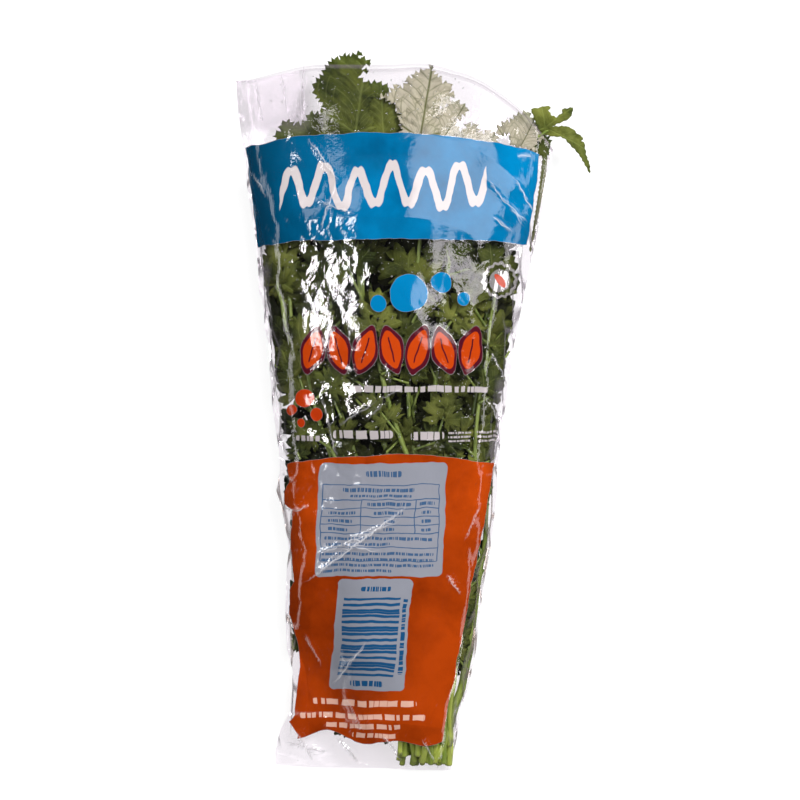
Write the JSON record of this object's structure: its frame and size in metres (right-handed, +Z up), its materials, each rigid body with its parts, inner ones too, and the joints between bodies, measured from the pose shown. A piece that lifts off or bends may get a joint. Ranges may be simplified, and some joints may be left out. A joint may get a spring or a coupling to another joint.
{
  "type": "coriander bunch",
  "caption": "Bunch of cut coriander stems with lobed, toothed leaves in a clear tapered film sleeve, welded at the cut ends and open at the leaf end. Lies flat.",
  "frame": {"origin": "middle of the footprint, on the surface the bunch lies on", "axes": "+Y from the cut ends to the leaf tips, +X to the right as seen from above with the leaves away from the viewer, +Z up, out of the printed front"},
  "size_m": [0.1562, 0.317, 0.0384],
  "materials": {
    "film": "clear crinkled polypropylene film, glossy, with blue and orange printed panels on the front wall",
    "herb": "fresh green leaf with a soft sheen; the stems are paler and yellower than the leaves"
  },
  "bodies": {
    "root": {"sleeve": "film", "leafy_stem_1_left": "herb", "leafy_stem_1_middle": "herb", "leafy_stem_1_right": "herb", "leafy_stem_2_left": "herb", "leafy_stem_2_middle": "herb", "leafy_stem_2_right": "herb", "leafy_stem_3_left": "herb", "leafy_stem_3_middle": "herb", "leafy_stem_3_right": "herb", "leafy_stem_4_left": "herb", "leafy_stem_4_middle": "herb", "leafy_stem_4_right": "herb"}
  },
  "joints": []
}
